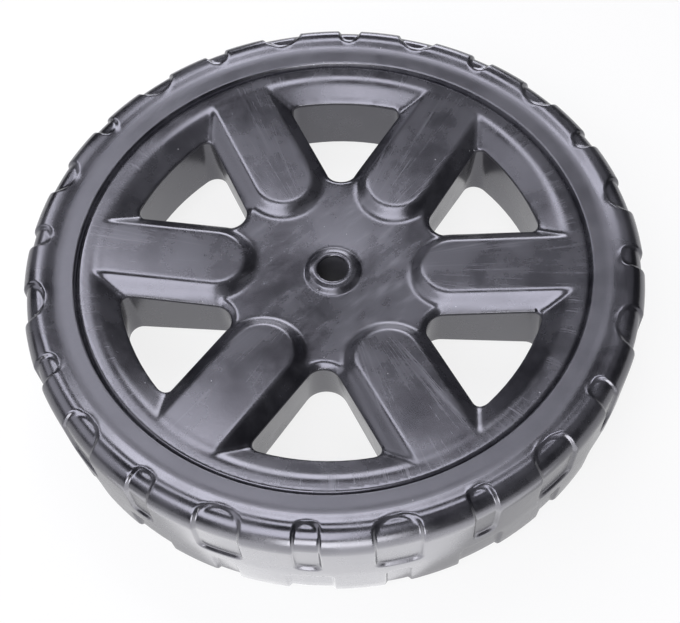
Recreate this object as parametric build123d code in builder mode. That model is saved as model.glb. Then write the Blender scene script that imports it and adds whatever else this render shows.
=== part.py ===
from build123d import *
from math import cos, radians, sin, tan
import os

# Lawn-mower wheel, moulded in one piece: rounded tyre, rim, six raised spokes, six windows.
# The axle runs along Z, the outer face looks up, and z = 0 is the middle of the tread.
# Sizes in millimetres, angles in degrees. Drops are measured in from the tyre's widest line.

# Tyre
outer_diameter = 203.0
overall_width = 44.4
shoulder_run = 6.7
shoulder_fall = 6.9
tread_draft = 1.0
tyre_height = 17.1
sidewall_drop = 2.8
sidewall_band = 5.7
sidewall_angle = 4.0
shoulder_turn = 105.0

# Rim, from the groove under the tyre inwards
groove_width = 1.3
groove_depth = 1.0
rim_edge_drop = 4.5
rim_land = 4.9
bevel_top_drop = 5.2
bevel_run = 7.6
ledge_drop = 10.8

# Dished web and hub
dish_angle = 4.7
back_drop = 9.9
back_lip = 1.5
bore_diameter = 10.2
bore_chamfer = 0.5
collar_wall = 2.4
collar_flare = 2.2
collar_height = 2.2
collar_chamfer = 0.9

# Raised spokes
spoke_count = 6
spoke_top_width = 20.8
spoke_bevel_angle = 50.0
spoke_dish_angle = 6.8
spoke_end_radius = 29.6
spoke_sink = 0.6
spoke_edge_setback = 0.9

# Windows, drafted towards the back face
window_bite = 0.3
window_draft = 5.2
window_hub_corner = 7.5
window_rim_corner = 5.5

# Tread pockets, in two rows with the widths swapped
pocket_pairs = 12
wide_pocket = 14.0
wide_pocket_bulge = 4.4
narrow_pocket = 7.8
narrow_pocket_bulge = 2.8
pocket_depth = 1.9
pocket_reach = 8.7
centre_band = 6.0

# How far cutting forms run past the faces that they open
overrun = 1.0

# Heights and radii of the turned form
tread_radius = outer_diameter / 2
crest = overall_width / 2
shoulder_start = tread_radius - shoulder_run
shoulder_foot = crest - shoulder_fall
tread_edge = tread_radius - shoulder_foot * tan(radians(tread_draft))
sidewall_radius = tread_radius - tyre_height
band_radius = sidewall_radius + sidewall_band
groove_radius = sidewall_radius - groove_width / 2
rim_edge_radius = sidewall_radius - groove_width
bevel_top_radius = rim_edge_radius - rim_land
bevel_foot_radius = bevel_top_radius - bevel_run
sidewall_edge = crest - sidewall_drop
band_edge = sidewall_edge + sidewall_band * tan(radians(sidewall_angle))
arc_run = tread_edge - shoulder_start
crest_radius = shoulder_start + arc_run * cos(radians(shoulder_turn))
crest_height = shoulder_foot + shoulder_fall * sin(radians(shoulder_turn))
rim_edge = crest - rim_edge_drop
groove_floor = rim_edge - groove_depth
bevel_top = crest - bevel_top_drop
ledge = crest - ledge_drop
back = back_drop - crest
inner_end = tread_radius - pocket_reach
pocket_edge = tread_edge - pocket_depth
pocket_floor = crest - pocket_depth
bore_radius = bore_diameter / 2
collar_radius = bore_radius + collar_wall
collar_foot_radius = collar_radius + collar_flare


def web_height(radius):
    return ledge - (bevel_foot_radius - radius) * tan(radians(dish_angle))


def spoke_top(radius):
    return bevel_top - (bevel_top_radius - radius) * tan(radians(spoke_dish_angle))


def spoke_rise(radius):
    return spoke_top(radius) - web_height(radius)


# Rise of a spoke above the web, and the window's sides, which run along the foot of the spoke
bevel_slope = tan(radians(spoke_bevel_angle))
window_slope = tan(radians(window_draft))
spoke_height = max(spoke_rise(bevel_foot_radius), spoke_rise(spoke_end_radius)) + spoke_sink
spoke_half = spoke_top_width / 2 + spoke_height * bevel_slope
window_foot = back - overrun
window_radius = bevel_foot_radius + window_bite + (ledge - window_foot) * window_slope
back_foot_radius = window_radius + back_lip
collar_top = web_height(collar_foot_radius) + collar_height
collar_bottom = back - collar_height


def window_side(reach):
    spoke_foot = spoke_top_width / 2 + spoke_rise(reach) * bevel_slope
    return spoke_foot - window_bite - (web_height(reach) - window_foot) * window_slope


# One raised spoke: its section runs out into the rim and is turned half round at the hub end
tilt = radians(spoke_dish_angle)
spoke_axis = Vector(cos(tilt), 0, sin(tilt))
spoke_normal = Vector(-sin(tilt), 0, cos(tilt))
spoke_inner = spoke_end_radius + spoke_top_width / 2
spoke_base = Vector(0, 0, spoke_top(0)) - spoke_normal * spoke_height + spoke_axis * spoke_inner
section_plane = Plane(origin=spoke_base, x_dir=(0, 1, 0), z_dir=spoke_axis)
top_half = spoke_top_width / 2
bevel_fall = spoke_edge_setback * cos(radians(spoke_bevel_angle))
bevel_out = spoke_edge_setback * sin(radians(spoke_bevel_angle))
with BuildSketch(section_plane) as half_section:
    with BuildLine():
        Polyline(
            (top_half + bevel_out, spoke_height - bevel_fall),
            (spoke_half, 0),
            (0, 0),
            (0, spoke_height),
            (top_half - spoke_edge_setback, spoke_height),
        )
        Bezier(
            (top_half - spoke_edge_setback, spoke_height),
            (top_half, spoke_height),
            (top_half + bevel_out, spoke_height - bevel_fall),
        )
    make_face()
with BuildPart() as spoke:
    add(half_section.sketch)
    add(mirror(half_section.sketch, about=Plane.XZ))
    extrude(amount=rim_edge_radius - spoke_inner, dir=spoke_axis)
    add(half_section.sketch)
    revolve(axis=Axis(spoke_base, spoke_normal), revolution_arc=180)

# One window between two spokes, narrowing from the back face up to the ledge
half_pitch = 180 / spoke_count
middle = radians(half_pitch)
side_rake = window_side(1) - window_side(0)
apex_distance = window_side(0) / (sin(middle) - side_rake * cos(middle))
window_apex = Vector(apex_distance, 0).rotate(Axis.Z, half_pitch)
window_near = Vector(tread_radius, window_side(tread_radius))
window_far = Vector(tread_radius, -window_side(tread_radius)).rotate(Axis.Z, 2 * half_pitch)
with BuildPart() as window:
    with BuildSketch(Plane.XY.offset(window_foot)) as outline:
        with BuildLine():
            Polyline(window_apex, window_near, window_far, close=True)
        make_face()
        Circle(window_radius, mode=Mode.INTERSECT)
        corners = outline.vertices().sort_by_distance((0, 0))
        fillet(corners[:1], radius=window_hub_corner)
        corners = outline.vertices().sort_by_distance((0, 0))
        fillet(corners[-2:], radius=window_rim_corner)
    extrude(amount=crest - window_foot, taper=window_draft)


# One pocket: a slice of tread and shoulder one pocket depth deep, its end on the shoulder rounded in plan
def pocket(width, bulge):
    with BuildPart() as one:
        with BuildSketch(Plane.XZ):
            with BuildLine():
                Polyline(
                    (pocket_edge, shoulder_foot),
                    (tread_radius - pocket_depth, centre_band / 2),
                    (tread_radius + overrun, centre_band / 2),
                    (tread_radius + overrun, crest + overrun),
                    (inner_end, crest + overrun),
                    (inner_end, pocket_floor),
                    (shoulder_start, pocket_floor),
                )
                TangentArc((shoulder_start, pocket_floor), (pocket_edge, shoulder_foot), tangent=(1, 0))
            make_face()
        extrude(amount=width / 2, both=True)
        with BuildSketch():
            with BuildLine():
                Polyline(
                    (inner_end + bulge, -width / 2),
                    (tread_radius + overrun, -width / 2),
                    (tread_radius + overrun, width / 2),
                    (inner_end + bulge, width / 2),
                )
                ThreePointArc((inner_end + bulge, width / 2), (inner_end, 0), (inner_end + bulge, -width / 2))
            make_face()
        extrude(amount=crest + 2 * overrun, mode=Mode.INTERSECT)
    return one.part


# The upper row of pockets, and the lower row mirrored from it
pocket_pitch = 180 / pocket_pairs
with BuildPart() as pockets:
    with PolarLocations(0, pocket_pairs):
        add(pocket(narrow_pocket, narrow_pocket_bulge))
    with PolarLocations(0, pocket_pairs, start_angle=pocket_pitch):
        add(pocket(wide_pocket, wide_pocket_bulge))
lower_pockets = mirror(pockets.part, about=Plane.XY)

# The wheel: turned form of tyre, rim, dished web and hub collars, then bore, spokes, windows and pockets
with BuildPart() as wheel:
    with BuildSketch(Plane.XZ) as section:
        with BuildLine():
            Polyline(
                (0, collar_top),
                (collar_radius, collar_top),
                (collar_foot_radius, web_height(collar_foot_radius)),
                (bevel_foot_radius, ledge),
                (bevel_top_radius, bevel_top),
                (rim_edge_radius, rim_edge),
                (groove_radius, groove_floor),
                (sidewall_radius, sidewall_edge),
                (band_radius, band_edge),
                (crest_radius, crest_height),
            )
            EllipticalCenterArc((shoulder_start, shoulder_foot), arc_run, shoulder_fall, arc_size=shoulder_turn)
            Polyline((tread_edge, shoulder_foot), (tread_radius, 0), (tread_edge, -shoulder_foot))
            EllipticalCenterArc((shoulder_start, -shoulder_foot), arc_run, shoulder_fall, arc_size=-shoulder_turn)
            Polyline(
                (crest_radius, -crest_height),
                (band_radius, -band_edge),
                (sidewall_radius, -sidewall_edge),
                (groove_radius, -groove_floor),
                (rim_edge_radius, -rim_edge),
                (bevel_top_radius, -bevel_top),
                (back_foot_radius, back),
                (collar_foot_radius, back),
                (collar_radius, collar_bottom),
                (0, collar_bottom),
                (0, collar_top),
            )
        make_face()
        corners = section.vertices()
        collar_edges = corners.sort_by_distance((collar_radius, collar_top))[:1]
        collar_edges += corners.sort_by_distance((collar_radius, collar_bottom))[:1]
        chamfer(collar_edges, length=collar_chamfer)
    revolve(axis=Axis.Z)
    Hole(radius=bore_radius)
    bore_wall = wheel.faces().filter_by(GeomType.CYLINDER).sort_by_distance((0, 0, 0))[0]
    chamfer(bore_wall.edges().filter_by(GeomType.CIRCLE), length=bore_chamfer)
    with PolarLocations(0, spoke_count):
        add(spoke.part)
    with PolarLocations(0, spoke_count):
        add(window.part, mode=Mode.SUBTRACT)
    add(pockets.part, mode=Mode.SUBTRACT)
    add(lower_pockets, rotation=(0, 0, pocket_pitch), mode=Mode.SUBTRACT)

wheel.part.label = "wheel"
os.makedirs("parts", exist_ok=True)
export_step(wheel.part, "parts/wheel.step")
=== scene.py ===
import bisect
import bmesh
import bpy
import math
from mathutils import Matrix, Vector
from mathutils.geometry import delaunay_2d_cdt, intersect_point_line
from mathutils.kdtree import KDTree


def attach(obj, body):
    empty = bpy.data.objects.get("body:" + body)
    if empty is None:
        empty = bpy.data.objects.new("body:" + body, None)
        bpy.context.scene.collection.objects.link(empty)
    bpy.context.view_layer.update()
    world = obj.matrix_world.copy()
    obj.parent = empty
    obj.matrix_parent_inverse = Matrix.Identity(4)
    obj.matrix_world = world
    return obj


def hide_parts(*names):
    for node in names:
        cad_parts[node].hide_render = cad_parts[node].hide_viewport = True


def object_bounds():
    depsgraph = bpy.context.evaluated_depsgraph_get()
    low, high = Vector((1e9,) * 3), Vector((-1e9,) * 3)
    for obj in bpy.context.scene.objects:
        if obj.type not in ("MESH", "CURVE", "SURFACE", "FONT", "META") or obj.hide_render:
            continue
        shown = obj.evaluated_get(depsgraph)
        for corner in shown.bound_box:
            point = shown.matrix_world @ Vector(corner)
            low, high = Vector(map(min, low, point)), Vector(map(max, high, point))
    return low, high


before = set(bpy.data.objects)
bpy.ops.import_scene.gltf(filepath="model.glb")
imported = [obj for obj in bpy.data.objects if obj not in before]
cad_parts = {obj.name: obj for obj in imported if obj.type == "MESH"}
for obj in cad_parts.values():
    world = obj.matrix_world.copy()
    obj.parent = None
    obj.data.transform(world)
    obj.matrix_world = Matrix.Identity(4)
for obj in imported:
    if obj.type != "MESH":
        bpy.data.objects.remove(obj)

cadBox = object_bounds()
scene = bpy.context.scene

# the moulding: the wheel's own mesh, merged, then its outer face and tyre laid again in finer, rounded form
moulding = {
    "mergeGap": 0.00002,        # m, joins the loose triangles
    "flatAngle": 0.05,          # degrees, below this two faces are one flat
    "faceHeight": 0.0055,       # m, the outer face lies above it
    "facing": 0.2,              # least upward lean of the outer face
    "hubRadius": 0.0125,        # m, collar and bore lie inside it
    "collarRadius": 0.0098,     # m, foot of the collar
    "webRadius": 0.0775,        # m, spokes and windows lie inside it
    "normalWeight": 60,         # how far the large faces steer the shading
}
rounding = {                    # offset in m, steps, least angle in degrees
    "hub": (0.0005, 2, 20),
    "back": (0.0004, 2, 40),
    "rimEdge": (0.0006, 3, 40),
    "lips": (0.0003, 2, 30),    # round the windows, and the collar's foot
}
outerFace = {                   # heights count from the middle of the tread
    "spokes": 6,
    "footRadius": 0.0706,       # m, foot of the rim's bevel
    "footHeight": 0.0114,
    "webSlope": math.tan(math.radians(4.7)),
    "shoulderRadius": 0.0782,   # m, top of the rim's bevel
    "shoulderHeight": 0.0170,
    "edgeRadius": 0.0831,       # m, outer edge of the rim's land
    "edgeHeight": 0.0177,
    "padSlope": math.tan(math.radians(6.8)),         # of a spoke's top
    "padHalf": 0.0104,          # m, half of the top's width
    "padEnd": 0.0296,           # m, from the axle to the top's round end
    "sideSlope": 1 / math.tan(math.radians(50.0)),   # of a spoke's sides
    "padSoft": 0.0007,          # m, softness of a spoke's edges
    "footSoft": 0.0012,         # of its foot
    "shoulderSoft": 0.0011,     # of the top of the rim's bevel
    "valleySoft": 0.0014,       # of the corner between spoke and rim
    "valleyRadii": (0.0795, 0.0760),   # m, where that softness starts and is full
    "foldSoft": 0.0005,         # of the fold round a window
    "spacing": 0.00096,         # m, between the points of the mesh
    "clearance": 0.0005,        # m, kept between points and borders
    "pointGap": 1e-7,           # m, closer points are one
}
windows = {                     # their hub ends are drawn out from the hub, with a fold round each
    "hubEnd": 0.0335,           # m from the axle
    "rimEnd": 0.0710,
    "margin": 0.0035,           # m past both ends
    "wallLean": 0.95,           # a wall faces up or down less than this
    "hubShift": 0.0042,         # m, how far the hub end is drawn out
    "mostShift": 1.1,           # of hubShift
    "hubLip": 0.0070,           # m, least height of a lip
    "foldSlope": 0.84,          # rise over run
    "noFold": 1.0,              # m, a height far above the face
}


def edgeKind(edge):
    mid = (edge.verts[0].co + edge.verts[1].co) / 2
    radius = mid.xy.length
    if radius < moulding["hubRadius"]:
        return "hub"
    if radius > tyre["grooveRadius"] - tyre["grooveLift"]:
        return None
    if mid.z < moulding["faceHeight"]:
        return "back"
    return "rimEdge" if radius > outerFace["edgeRadius"] - outerFace["clearance"] else None


def roundEdges(bm, kind, edges):
    offset, steps, least = rounding[kind]
    bm.normal_update()
    chosen = [e for e in edges if len(e.link_faces) == 2 and e.calc_face_angle(0) > math.radians(least)]
    made = bmesh.ops.bevel(bm, geom=chosen, offset=offset, offset_type="OFFSET", segments=steps, profile=0.5,
                           affect="EDGES", clamp_overlap=True, material=-1)
    print("rounded", kind, len(chosen))
    return made["faces"]


def softMax(first, second, width):
    share = max(width - abs(first - second), 0)
    return max(first, second) + (share * share / (4 * width) if width > 0 else 0)


def softMin(first, second, width):
    return -softMax(-first, -second, width)


def easeStep(value, low, high):
    t = min(max((value - low) / (high - low), 0), 1)
    return t * t * (3 - 2 * t)


# height of the rim's bevel and land with the spokes on them
def rimAndPad(x, y):
    s = outerFace
    radius = math.hypot(x, y)
    pitch = 2 * math.pi / s["spokes"]
    off = (math.atan2(y, x) + pitch / 2) % pitch - pitch / 2
    along = radius * math.cos(off)
    across = radius * math.sin(off)
    inward = s["shoulderRadius"] - radius
    bevelSlope = (s["shoulderHeight"] - s["footHeight"]) / (s["shoulderRadius"] - s["footRadius"])
    landSlope = (s["edgeHeight"] - s["shoulderHeight"]) / (s["edgeRadius"] - s["shoulderRadius"])
    bevel = s["shoulderHeight"] - inward * bevelSlope
    land = s["shoulderHeight"] - inward * landSlope
    top = s["shoulderHeight"] - (s["shoulderRadius"] - along) * s["padSlope"]
    out = math.hypot(min(along - s["padEnd"] - s["padHalf"], 0), across)
    pad = softMin(top, top - (out - s["padHalf"]) * s["sideSlope"], s["padSoft"])
    soft = s["valleySoft"] * easeStep(radius, *s["valleyRadii"])
    return softMax(softMin(bevel, land, s["shoulderSoft"]), pad, soft)


def faceHeight(x, y, fold):
    s = outerFace
    web = s["footHeight"] - (s["footRadius"] - math.hypot(x, y)) * s["webSlope"]
    share = easeStep(fold - web, -s["foldSoft"], s["foldSoft"])
    return softMax(rimAndPad(x, y), softMin(web, fold, s["foldSoft"]), s["footSoft"] * share)


def clearFace(bm, kept):
    m = moulding
    bm.normal_update()
    gone = []
    for f in bm.faces:
        c = f.calc_center_median()
        radius = c.xy.length
        inside = m["collarRadius"] < radius < outerFace["edgeRadius"] and c.z > m["faceHeight"]
        if inside and f not in kept and (f.normal.z > m["facing"] or radius > m["webRadius"]):
            gone.append(f)
    bmesh.ops.delete(bm, geom=gone, context="FACES")


def drawWindows(bm):
    s = windows
    pitch = 2 * math.pi / outerFace["spokes"]
    moved = set()
    for f in bm.faces:
        radius = f.calc_center_median().xy.length
        inside = s["hubEnd"] - s["margin"] < radius < s["rimEnd"] + s["margin"]
        if inside and abs(f.normal.z) < s["wallLean"]:
            moved |= set(f.verts)
    for v in moved:
        middle = (math.floor(math.atan2(v.co.y, v.co.x) / pitch) + 0.5) * pitch
        way = Vector((math.cos(middle), math.sin(middle), 0))
        share = (s["rimEnd"] - v.co.dot(way)) / (s["rimEnd"] - s["hubEnd"])
        v.co += way * s["hubShift"] * min(max(share, 0), s["mostShift"])


def splitBorder(bm, length):
    for edge in [e for e in bm.edges if e.is_boundary]:
        cuts = int(edge.calc_length() / length)
        start, end = [v.co.copy() for v in edge.verts]
        far = edge.verts[1]
        for k in range(cuts):
            vert = bmesh.utils.edge_split(edge, edge.other_vert(far), 0.5)[1]
            vert.co = start.lerp(end, (k + 1) / (cuts + 1))
            edge = [e for e in vert.link_edges if far in e.verts][0]


def borderLoops(bm):
    loops, seen = [], set()
    for edge in [e for e in bm.edges if e.is_boundary]:
        if edge.verts[0] in seen:
            continue
        stack, loop = [edge.verts[0]], []
        while stack:
            one = stack.pop()
            if one in seen:
                continue
            seen.add(one)
            loop.append(one)
            stack += [e.other_vert(one) for e in one.link_edges if e.is_boundary]
        loops.append(loop)
    return loops


# a border loop, its middle, and the turn and reach of its points round that middle
def outlineOf(loop):
    middle = sum((v.co.xy for v in loop), Vector((0, 0))) / len(loop)
    turns = sorted((math.atan2(p.y, p.x), p.length) for p in (v.co.xy - middle for v in loop))
    return {"verts": loop, "middle": middle, "turns": turns}


def inOpening(x, y, openings):
    for one in openings:
        turns, middle = one["turns"], one["middle"]
        spot = bisect.bisect(turns, (math.atan2(y - middle.y, x - middle.x), 0)) % len(turns)
        if math.hypot(x - middle.x, y - middle.y) < max(turns[spot][1], turns[spot - 1][1]):
            return True
    return False


# points in even triangles over the face, clear of its borders
def facePoints(openings, near):
    s = outerFace
    step = s["spacing"]
    half = int(s["edgeRadius"] / step) + 1
    points = []
    for j in range(-half * 2, half * 2 + 1):
        y = j * step * math.sqrt(0.75)
        for i in range(-half, half + 1):
            x = (i + 0.5 * (j % 2)) * step
            if math.hypot(x, y) > s["edgeRadius"] - s["clearance"] or inOpening(x, y, openings):
                continue
            if near.find((x, y, 0))[2] > s["clearance"]:
                points.append(Vector((x, y)))
    return points


# height of the fold that rises from the window's lip beside a corner of it
def foldHeight(spot, corner):
    best = (windows["noFold"], 0.0)
    for e in corner.link_edges:
        if e.is_boundary:
            start, end = e.verts[0].co, e.verts[1].co
            share = intersect_point_line(spot, start.xy, end.xy)[1]
            foot = start.lerp(end, min(max(share, 0), 1))
            best = min(best, ((foot.xy - spot).length, foot.z))
    return best[1] + best[0] * windows["foldSlope"]


def layFace(bm, kept):
    clearFace(bm, kept)
    drawWindows(bm)
    splitBorder(bm, outerFace["spacing"])
    outlines = [outlineOf(loop) for loop in borderLoops(bm)]
    rim = max(outlines, key=lambda one: one["turns"][0][1])
    openings = [one for one in outlines if one is not rim]
    lip = {v for one in openings if one["middle"].length > moulding["hubRadius"] for v in one["verts"]}
    for v in lip:
        v.co.z = max(rimAndPad(v.co.x, v.co.y), windows["hubLip"])
    owner = {v: k for k, one in enumerate(outlines) for v in one["verts"]}
    corners = list(owner)
    number = {v: k for k, v in enumerate(corners)}
    near = KDTree(len(corners))
    for k, v in enumerate(corners):
        near.insert((v.co.x, v.co.y, 0), k)
    near.balance()

    points = [v.co.xy for v in corners] + facePoints(openings, near)
    fences = [(number[e.verts[0]], number[e.verts[1]]) for e in bm.edges if e.is_boundary]
    spots, _, tris, sources, _, _ = delaunay_2d_cdt(points, fences, [], 0, outerFace["pointGap"])
    verts = []
    for spot, source in zip(spots, sources):
        if source and source[0] < len(corners):
            verts.append(corners[source[0]])
            continue
        corner = corners[near.find((spot.x, spot.y, 0))[1]]
        fold = foldHeight(spot, corner) if corner in lip else windows["noFold"]
        verts.append(bm.verts.new((spot.x, spot.y, faceHeight(spot.x, spot.y, fold))))
    made = 0
    for tri in tris:
        owners = {owner.get(verts[k]) for k in tri}
        if len(owners) > 1 or None in owners:   # any other would close an opening
            bm.faces.new([verts[k] for k in tri])
            made += 1
    print("outer face:", made, "faces")
    roundEdges(bm, "lips", [e for e in bm.edges if e.verts[0] in owner and e.verts[1] in owner
                            and e.verts[0].co.xy.length < moulding["webRadius"]])


# the tyre: a grid wrapped round the wheel on the rows of its section, with two rows of pockets sunk in it
tyre = {
    "grooveRadius": 0.08375,    # m, floor of the groove between rim and tyre
    "grooveHeight": 0.0167,
    "grooveLift": 0.00008,      # m, from that floor to the first row
    "grooveRow": 0.45,          # share of the groove's wall where the second row lies
    "sideRadius": 0.0844,       # m, top of the groove's wall
    "sideHeight": 0.0190,
    "bandRadius": 0.0901,       # m, outer edge of the sidewall's band
    "bandHeight": 0.0198,
    "sideSoft": (0.0006, 4),    # m that a corner is softened to each side, and steps
    "bandSoft": (0.0020, 6),
    "crestSoft": (0.0016, 6),
    "shoulderRadius": 0.0948,   # m, middle of the round shoulder
    "shoulderHeight": 0.0153,
    "shoulderTurn": 97.0,       # degrees from the tread to the crest
    "crestAim": 15.0,           # degrees past the crest, where its softness leads
    "arcRows": (79, 75.5, 72, 68, 64, 60, 54, 47, 40, 32, 24, 16, 8, 0),   # degrees
    "treadRows": (0.0122, 0.0085, 0.0058, 0.0046, 0.0041, 0.0037, 0.0033, 0.0029, 0.0025, 0.0020),   # m
    "fineRows": 9,              # under the middle, after them every other row is left out
    "draft": math.tan(math.radians(1.0)),
    "pitches": 24,              # pockets in a row
    "reach": 0.0928,            # m, inner ends of the pockets
    "centreBand": 0.0030,       # m, half of the band between the rows of pockets
    "depth": 0.0010,
    "wide": (0.0070, 0.0044),   # m, half of a pocket's width, and the bulge of its end
    "narrow": (0.0039, 0.0028),
    "sideWall": (-0.0004, 0.0007),   # m inside the pocket's outline, top and foot of the wall
    "endWall": (-0.0007, 0.0012),
    "cornerSoft": 0.0030,
    "columns": (0, 0.0011, 0.0021, 0.0028, 0.0032, 0.0035, 0.0038, 0.0041, 0.0045, 0.0052, 0.0059, 0.0063,
                0.0066, 0.0069, 0.0072, 0.0076, 0.0084, 0.0098, 0.0114),   # m from a pocket's middle
    "straightTo": 0.0084,       # m, columns this near to a pocket's middle run straight
    "straightFrom": 0.092,      # m, outside this radius
    "columnRadius": 0.098,      # m, where the other columns have their full distance
}


def softCorner(before, corner, after, offset, steps):
    start = corner + (before - corner).normalized() * offset
    end = corner + (after - corner).normalized() * offset
    return [start.lerp(corner, t).lerp(corner.lerp(end, t), t) for t in (k / steps for k in range(steps + 1))]


def tyreRows():
    s = tyre
    tread = cadBox[1][0]
    edge = tread - s["shoulderHeight"] * s["draft"]
    run, fall = edge - s["shoulderRadius"], cadBox[1][2] - s["shoulderHeight"]

    def onArc(angle):
        a = math.radians(angle)
        return Vector((s["shoulderRadius"] + run * math.cos(a), s["shoulderHeight"] + fall * math.sin(a)))

    floor = Vector((s["grooveRadius"], s["grooveHeight"]))
    side = Vector((s["sideRadius"], s["sideHeight"]))
    band = Vector((s["bandRadius"], s["bandHeight"]))
    crest = onArc(s["shoulderTurn"])
    foot = Vector((edge, s["shoulderHeight"]))
    middle = Vector((tread, 0))
    rows = [floor.lerp(side, s["grooveLift"] / (side - floor).length), floor.lerp(side, s["grooveRow"])]
    rows += softCorner(floor, side, band, *s["sideSoft"])
    rows.append(side.lerp(band, 0.5))
    rows += softCorner(side, band, crest, *s["bandSoft"])
    rows += softCorner(band, crest, onArc(s["shoulderTurn"] - s["crestAim"]), *s["crestSoft"])
    rows += [onArc(angle) for angle in s["arcRows"]]
    rows += [foot.lerp(middle, 1 - height / s["shoulderHeight"]) for height in s["treadRows"]]
    lower = [Vector((p.x, -p.y)) for p in reversed(rows)]
    last = len(lower) - 1
    return rows + [middle] + [p for k, p in enumerate(lower) if k < s["fineRows"] or k % 2 == 1 or k == last]


def pocketDepth(radius, across, height, shape):
    s = tyre
    half, bulge = shape
    bow = (half * half + bulge * bulge) / (2 * bulge)
    middle = s["reach"] + bow
    plan = math.sqrt(max(radius * radius - across * across, 0))
    inside = softMin(half - abs(across), abs(height) - s["centreBand"], s["cornerSoft"])
    within = bow - math.hypot(plan - middle, across) if plan < middle else bow
    return s["depth"] * easeStep(inside, *s["sideWall"]) * easeStep(within, *s["endWall"])


# place of a tyre point in its column, sunk where a pocket lies
def tyrePlace(radius, height, pocket, across):
    s = tyre
    straight = math.asin(across / max(radius, s["straightFrom"]))
    even = across / s["columnRadius"]
    turn = straight + (even - straight) * easeStep(abs(across), s["straightTo"], max(s["columns"]))
    shape = s["wide"] if (pocket % 2 == 1) == (height > 0) else s["narrow"]
    sink = pocketDepth(radius, radius * math.sin(turn), height, shape)
    rise = max(abs(height) - s["shoulderHeight"], 0)
    run = radius - s["shoulderRadius"] if rise > 0 else radius
    way = Vector((run, math.copysign(rise, height))).normalized()   # from the shoulder's middle or the axle
    angle = pocket * 2 * math.pi / s["pitches"] + turn
    sunk = radius - way.x * sink
    return sunk * math.cos(angle), sunk * math.sin(angle), height - way.y * sink


def layTyre(bm):
    s = tyre
    gone = [f for f in bm.faces if f.calc_center_median().xy.length > s["grooveRadius"]]
    bmesh.ops.delete(bm, geom=gone, context="FACES")
    rows = tyreRows()
    across = [-u for u in reversed(s["columns"][1:])] + list(s["columns"])
    steps, last = s["pitches"] * len(across), len(rows) - 1
    grid = bmesh.ops.create_grid(bm, x_segments=steps, y_segments=last, size=1)["verts"]   # from -1 to 1
    seam = []
    for v in grid:
        step = round((v.co.x + 1) / 2 * steps) % steps
        row = rows[round((v.co.y + 1) / 2 * last)]
        pocket, column = divmod(step, len(across))
        v.co = tyrePlace(row.x, row.y, pocket, across[column])
        if step == 0:
            seam.append(v)
    bmesh.ops.remove_doubles(bm, verts=seam, dist=outerFace["pointGap"])
    for side in (1, -1):
        border = [e for e in bm.edges if e.is_boundary and e.verts[0].co.z * side > 0]
        bmesh.ops.bridge_loops(bm, edges=border)
    print("tyre:", steps, "columns,", len(rows), "rows")


def makeMoulding():
    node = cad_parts["wheel"]
    bm = bmesh.new()
    bm.from_mesh(node.data)
    bmesh.ops.remove_doubles(bm, verts=bm.verts, dist=moulding["mergeGap"])
    bmesh.ops.dissolve_limit(bm, angle_limit=math.radians(moulding["flatAngle"]),
                             use_dissolve_boundaries=False, verts=bm.verts, edges=bm.edges)
    kept = []
    for kind in ("hub", "back", "rimEdge"):
        kept += roundEdges(bm, kind, [e for e in bm.edges if edgeKind(e) == kind])
    layFace(bm, {f for f in kept if f.is_valid})
    layTyre(bm)
    bmesh.ops.recalc_face_normals(bm, faces=bm.faces)
    print("open edges:", sum(1 for e in bm.edges if len(e.link_faces) != 2))
    for face in bm.faces:
        face.smooth = True
    mesh = bpy.data.meshes.new("wheelMoulding")
    bm.to_mesh(mesh)
    bm.free()
    piece = bpy.data.objects.new("wheelMoulding", mesh)
    scene.collection.objects.link(piece)
    shading = piece.modifiers.new("evenNormals", "WEIGHTED_NORMAL")
    shading.weight = moulding["normalWeight"]
    shading.keep_sharp = False
    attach(piece, "root")
    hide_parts("wheel")
    mesh.calc_loop_triangles()
    print("moulding:", len(mesh.loop_triangles), "triangles")
    return piece


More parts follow.
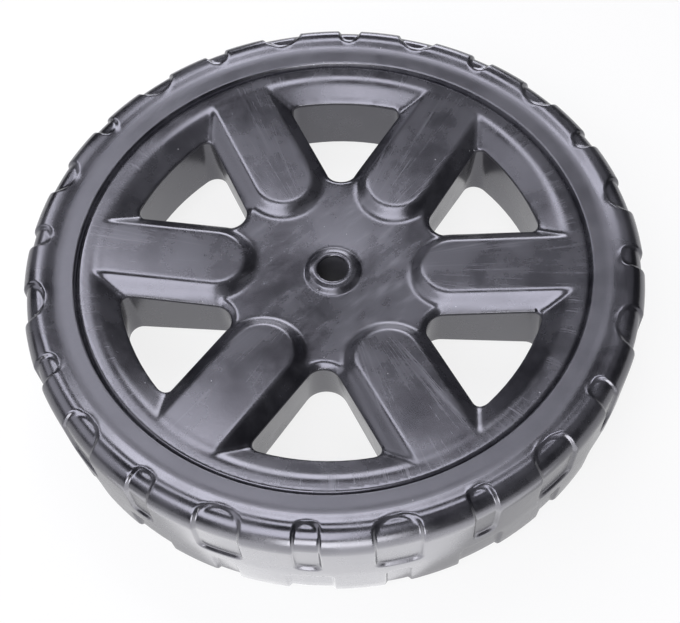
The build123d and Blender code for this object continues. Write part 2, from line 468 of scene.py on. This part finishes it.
# the plastic: satin black, scuffed on the spokes' tops and the hub, with a little dust, and painted shade
# under the windows' lips and in the bore
plastic = {
    "colour": (0.006, 0.006, 0.008, 1.0),
    "worn": (0.026, 0.026, 0.030, 1.0),
    "scuff": (0.085, 0.085, 0.095, 1.0),
    "dust": (0.30, 0.30, 0.31, 1.0),
    "paintedShade": (0.004, 0.004, 0.005, 1.0),   # painted shade, in the bore and under the windows' lips
    "ior": 1.7,
    "shine": 0.8,
    "tint": (0.91, 0.90, 1.0, 1.0),
    "roughness": (0.21, 0.31),
    "scuffRough": 0.10,         # added to the roughness there
    "darkRough": 0.5,
    "bandRough": 0.14,
    # scale, detail and roughness of each noise
    "mottle": (55.0, 6.0, 0.62),
    "streak": (1.0, 4.0, 0.6),
    "patch": (28.0, 2.0, 0.5),
    "rub": (1.0, 5.0, 0.65),
    "grain": (900.0, 3.0, 0.5),
    # levels where a mark starts and is full
    "wornCut": (0.35, 0.65),
    "roughCut": (0.3, 0.7),
    "streakCut": (0.52, 0.78),
    "patchCut": (0.35, 0.62),
    "rubCut": (0.45, 0.85),
    "dustCut": (0.80, 0.86),
    "dustSize": (0.055, 0.033),   # of a dust cell
    "dustScale": 240.0,
    "grainStrength": 0.25,
    "grainHeight": 0.00002,     # m
    "streaksAcross": 75.0,      # per radian
    "streaksAlong": 28.0,       # per m
    "rubsAlong": 45.0,          # per m, aslant over the hub
    "rubsAcross": 160.0,
    # where the marks start and are full, in m
    "streakRadii": (0.084, 0.080),
    "rubRadii": (0.034, 0.029),
    "padOff": (0.0008, 0.0004),   # off the cone that the spokes' tops lie on
    "lipShadowTop": (0.000075, 0.00015),   # painted shade line under the cone that the windows' lips lie on
    "lipShadowFoot": (0.0009775, 0.00085),
    "lipShadowStart": (0.025, 0.026),
    "lipShadowEnd": (0.076, 0.075),
    "boreRadii": (0.0054, 0.0052),
    "boreTop": (0.0078, 0.0068),
    "bandStart": (0.0843, 0.0848),   # the sidewall's band is duller
    "bandEnd": (0.0912, 0.0897),
    # the two cones: height at the axle in m, and rise per m of radius
    "padCone": (0.0077, 0.1192),
    "lipCone": (0.0018, 0.138),
}


def connect(tree, value, socket):
    if isinstance(value, bpy.types.NodeSocket):
        tree.links.new(value, socket)
    else:
        socket.default_value = value


def calc(tree, operation, first, second=0.0):
    step = tree.nodes.new("ShaderNodeMath")
    step.operation = operation
    connect(tree, first, step.inputs[0])
    connect(tree, second, step.inputs[1])
    return step.outputs["Value"]


def product(tree, first, *others):
    for other in others:
        first = calc(tree, "MULTIPLY", first, other)
    return first


def ramp(tree, value, cut, ends=(0.0, 1.0)):
    span = tree.nodes.new("ShaderNodeMapRange")
    span.interpolation_type = "SMOOTHSTEP"
    for name, number in zip(("From Min", "From Max", "To Min", "To Max"), (*cut, *ends)):
        span.inputs[name].default_value = number
    connect(tree, value, span.inputs["Value"])
    return span.outputs["Result"]


def noise(tree, vector, setting):
    cloud = tree.nodes.new("ShaderNodeTexNoise")
    for name, number in zip(("Scale", "Detail", "Roughness"), setting):
        cloud.inputs[name].default_value = number
    connect(tree, vector, cloud.inputs["Vector"])
    return cloud.outputs["Fac"]


def combine(tree, *values):
    vector = tree.nodes.new("ShaderNodeCombineXYZ")
    for value, socket in zip(values, vector.inputs):
        connect(tree, value, socket)
    return vector.outputs["Vector"]


def blend(tree, share, first, second):
    mix = tree.nodes.new("ShaderNodeMix")
    mix.data_type = "RGBA"
    for name, value in (("Factor", share), ("A", first), ("B", second)):
        connect(tree, value, mix.inputs[name])
    return mix.outputs["Result"]


def wheelPlace(tree):
    place = tree.nodes.new("ShaderNodeTexCoord").outputs["Object"]
    axes = tree.nodes.new("ShaderNodeSeparateXYZ")
    connect(tree, place, axes.inputs["Vector"])
    x, y, z = axes.outputs
    square = calc(tree, "ADD", product(tree, x, x), product(tree, y, y))
    return {"place": place, "x": x, "y": y, "z": z, "radius": calc(tree, "SQRT", square)}


def underCone(tree, at, cone):
    height, rise = cone
    return calc(tree, "SUBTRACT", calc(tree, "ADD", product(tree, at["radius"], rise), height), at["z"])


# streaks out along the spokes' tops, and rubs aslant over the hub
def scuffs(tree, at):
    s = plastic
    turn = calc(tree, "ARCTAN2", at["y"], at["x"])
    outward = combine(tree, product(tree, turn, s["streaksAcross"]),
                      product(tree, at["radius"], s["streaksAlong"]),
                      product(tree, at["z"], s["streaksAlong"]))
    offPad = calc(tree, "ABSOLUTE", underCone(tree, at, s["padCone"]))
    streaks = product(tree, ramp(tree, noise(tree, outward, s["streak"]), s["streakCut"]),
                      ramp(tree, noise(tree, at["place"], s["patch"]), s["patchCut"]),
                      ramp(tree, at["radius"], s["streakRadii"]), ramp(tree, offPad, s["padOff"]))
    slant = combine(tree, product(tree, calc(tree, "ADD", at["x"], at["y"]), s["rubsAlong"]),
                    product(tree, calc(tree, "SUBTRACT", at["y"], at["x"]), s["rubsAcross"]))
    rubs = product(tree, ramp(tree, noise(tree, slant, s["rub"]), s["rubCut"]),
                   ramp(tree, at["radius"], s["rubRadii"]))
    return calc(tree, "MAXIMUM", streaks, rubs)


def dustSpecks(tree, at):
    cells = tree.nodes.new("ShaderNodeTexVoronoi")
    cells.inputs["Scale"].default_value = plastic["dustScale"]
    connect(tree, at["place"], cells.inputs["Vector"])
    pick = tree.nodes.new("ShaderNodeSeparateColor")
    connect(tree, cells.outputs["Color"], pick.inputs["Color"])
    return product(tree, ramp(tree, cells.outputs["Distance"], plastic["dustSize"]),
                   ramp(tree, pick.outputs["Red"], plastic["dustCut"]))


# painted shade: a dark line under the windows' lips, and the bore painted dark and made dull
def paintedShadePlaces(tree, at):
    s = plastic
    under = underCone(tree, at, s["lipCone"])
    lipShadow = product(tree, ramp(tree, under, s["lipShadowTop"]), ramp(tree, under, s["lipShadowFoot"]),
                  ramp(tree, at["radius"], s["lipShadowStart"]), ramp(tree, at["radius"], s["lipShadowEnd"]))
    bore = product(tree, ramp(tree, at["radius"], s["boreRadii"]), ramp(tree, at["z"], s["boreTop"]))
    return calc(tree, "MAXIMUM", lipShadow, bore)


def makePlastic():
    s = plastic
    mat = bpy.data.materials.new("satinPlastic")
    mat.use_nodes = True
    tree = mat.node_tree
    shader = tree.nodes["Principled BSDF"]
    shader.inputs["IOR"].default_value = s["ior"]
    shader.inputs["Specular IOR Level"].default_value = s["shine"]
    shader.inputs["Specular Tint"].default_value = s["tint"]
    at = wheelPlace(tree)
    mottle = noise(tree, at["place"], s["mottle"])
    marks = scuffs(tree, at)
    # the dark line under the lips and the dark bore are painted shade
    paintedShade = paintedShadePlaces(tree, at)
    band = product(tree, ramp(tree, at["radius"], s["bandStart"]), ramp(tree, at["radius"], s["bandEnd"]))

    colour = blend(tree, ramp(tree, mottle, s["wornCut"]), s["colour"], s["worn"])
    # mottled wear, scuffs and dust are the plastic's own; the last blend is painted shade
    for share, name in ((marks, "scuff"), (dustSpecks(tree, at), "dust"), (paintedShade, "paintedShade")):
        colour = blend(tree, share, colour, s[name])
    connect(tree, colour, shader.inputs["Base Color"])

    rough = ramp(tree, mottle, s["roughCut"], s["roughness"])
    for share, name in ((marks, "scuffRough"), (paintedShade, "darkRough"), (band, "bandRough")):
        rough = calc(tree, "ADD", rough, product(tree, share, s[name]))
    connect(tree, rough, shader.inputs["Roughness"])

    bump = tree.nodes.new("ShaderNodeBump")
    bump.inputs["Strength"].default_value = s["grainStrength"]
    bump.inputs["Distance"].default_value = s["grainHeight"]
    connect(tree, noise(tree, at["place"], s["grain"]), bump.inputs["Height"])
    connect(tree, bump.outputs["Normal"], shader.inputs["Normal"])
    print("plastic: ready")
    return mat


# the photo's view: lens and stance of the camera over the wheel
viewpoint = {
    "lens": 53.4044,        # mm
    "sensor": 36.0,
    "elevation": 58.717,    # degrees
    "roll": -4.087,
    "heading": 7.371,
    "aim": (0.001385, -0.019144, 0.01147),   # m, before it is turned to the heading
    "reach": 0.326629,      # m, from there to the camera
}


def makeCamera():
    cam = bpy.data.objects.new("camera", bpy.data.cameras.new("camera"))
    scene.collection.objects.link(cam)
    cam.data.sensor_width = viewpoint["sensor"]
    cam.data.lens = viewpoint["lens"]
    el = math.radians(viewpoint["elevation"])
    roll = math.radians(viewpoint["roll"])
    turn = Matrix.Rotation(math.radians(viewpoint["heading"]), 3, "Z")
    forward = turn @ Vector((0, math.cos(el), -math.sin(el)))
    level = turn @ Vector((1, 0, 0))
    upward = turn @ Vector((0, math.sin(el), math.cos(el)))
    right = math.cos(roll) * level + math.sin(roll) * upward
    above = -math.sin(roll) * level + math.cos(roll) * upward
    spot = turn @ Vector(viewpoint["aim"]) - forward * viewpoint["reach"]
    cam.matrix_world = Matrix.Translation(spot) @ Matrix((right, above, -forward)).transposed().to_4x4()
    scene.camera = cam
    print("camera: set over the wheel")


# the studio: white floor, soft boxes round the wheel, dim room
studio = {
    "floorSize": 6.0,           # m
    "floorGlow": 0.84,          # share of the floor's white that is its own, where it is seen
    "floorWhite": 0.8,
    "floorRough": 0.9,
    "room": 0.04,
    "cool": (0.93, 0.93, 1.0),  # tint of the lamps that are marked cool
    "whitePower": 4.0,          # W per square m, a lamp then looks just white
}
# places and sizes in m, brightness in times white
# a lamp with a turn lies flat and is turned by so many degrees, any other faces the wheel
lamps = {
    "nearBox": {
        "place": (-0.38, -0.90, 1.00), "size": (1.11, 1.00), "turn": 0.0, "brightness": 4.3, "cool": True,
    },
    "leftBox": {
        "place": (-0.95, -0.20, 0.66), "size": (0.90, 0.70), "brightness": 1.3, "cool": True,
    },
    "strip": {
        "place": (-0.218, 0.202, 0.35), "size": (0.65, 0.10), "turn": -27.0, "brightness": 4.6, "cool": True,
    },
    "fill": {
        "place": (0.45, 0.30, 0.90), "size": (1.00, 1.20), "turn": 0.0, "brightness": 0.20, "cool": True,
    },
    "farLow": {
        "place": (0.00, 1.20, 0.46), "size": (0.60, 0.60), "brightness": 4.6, "cool": True,
    },
    "frontLow": {
        "place": (0.06, -1.05, 0.20), "size": (0.60, 0.50), "brightness": 6.4,
    },
    "lightTable": {
        "place": (0.02, -0.324, -0.02), "size": (0.26, 0.452), "turn": 0.0, "up": True, "brightness": 1.05,
    },
}


def makeFloor():
    bm = bmesh.new()
    bmesh.ops.create_grid(bm, x_segments=1, y_segments=1, size=studio["floorSize"] / 2)
    bmesh.ops.translate(bm, verts=bm.verts, vec=(0, 0, cadBox[0][2]))
    mesh = bpy.data.meshes.new("studioFloor")
    bm.to_mesh(mesh)
    bm.free()
    floor = bpy.data.objects.new("studioFloor", mesh)
    scene.collection.objects.link(floor)
    mat = bpy.data.materials.new("whiteFloor")
    mat.use_nodes = True
    tree = mat.node_tree
    shader = tree.nodes["Principled BSDF"]
    shader.inputs["Base Color"].default_value = (studio["floorWhite"],) * 3 + (1.0,)
    shader.inputs["Roughness"].default_value = studio["floorRough"]
    glow = tree.nodes.new("ShaderNodeEmission")
    rays = tree.nodes.new("ShaderNodeLightPath").outputs
    seen = calc(tree, "MAXIMUM", rays["Is Camera Ray"], rays["Is Glossy Ray"])
    mix = tree.nodes.new("ShaderNodeMixShader")
    connect(tree, product(tree, seen, studio["floorGlow"]), mix.inputs["Fac"])
    connect(tree, shader.outputs["BSDF"], mix.inputs[1])
    connect(tree, glow.outputs["Emission"], mix.inputs[2])
    connect(tree, mix.outputs["Shader"], tree.nodes["Material Output"].inputs["Surface"])
    mesh.materials.append(mat)
    print("floor: laid at", round(cadBox[0][2], 4))


def makeLamps():
    for name, s in lamps.items():
        light = bpy.data.lights.new(name, "AREA")
        light.shape = "RECTANGLE"
        light.size, light.size_y = s["size"]
        light.energy = s["brightness"] * studio["whitePower"] * s["size"][0] * s["size"][1]
        if "cool" in s:
            light.color = studio["cool"]
        lamp = bpy.data.objects.new(name, light)
        scene.collection.objects.link(lamp)
        lamp.location = s["place"]
        if "turn" in s:
            lamp.rotation_euler = (math.pi if "up" in s else 0, 0, math.radians(s["turn"]))
        else:
            lamp.rotation_euler = Vector(s["place"]).to_track_quat("Z", "Y").to_euler()
        lamp.visible_camera = False
    print("lamps:", ", ".join(lamps))


def makeRoom():
    world = bpy.data.worlds.new("room")
    scene.world = world
    world.use_nodes = True
    tree = world.node_tree
    backdrop = tree.nodes["Background"]
    backdrop.inputs["Color"].default_value = (1, 1, 1, 1)
    rays = tree.nodes.new("ShaderNodeLightPath").outputs
    level = tree.nodes.new("ShaderNodeMapRange")
    level.inputs["To Min"].default_value = studio["room"]
    level.inputs["To Max"].default_value = 1.0
    connect(tree, rays["Is Camera Ray"], level.inputs["Value"])
    connect(tree, level.outputs["Result"], backdrop.inputs["Strength"])
    print("room: dim, white behind the wheel")


wheelPiece = makeMoulding()
wheelPiece.data.materials.append(makePlastic())
makeFloor()
makeLamps()
makeRoom()
makeCamera()
scene.view_settings.view_transform = "Standard"
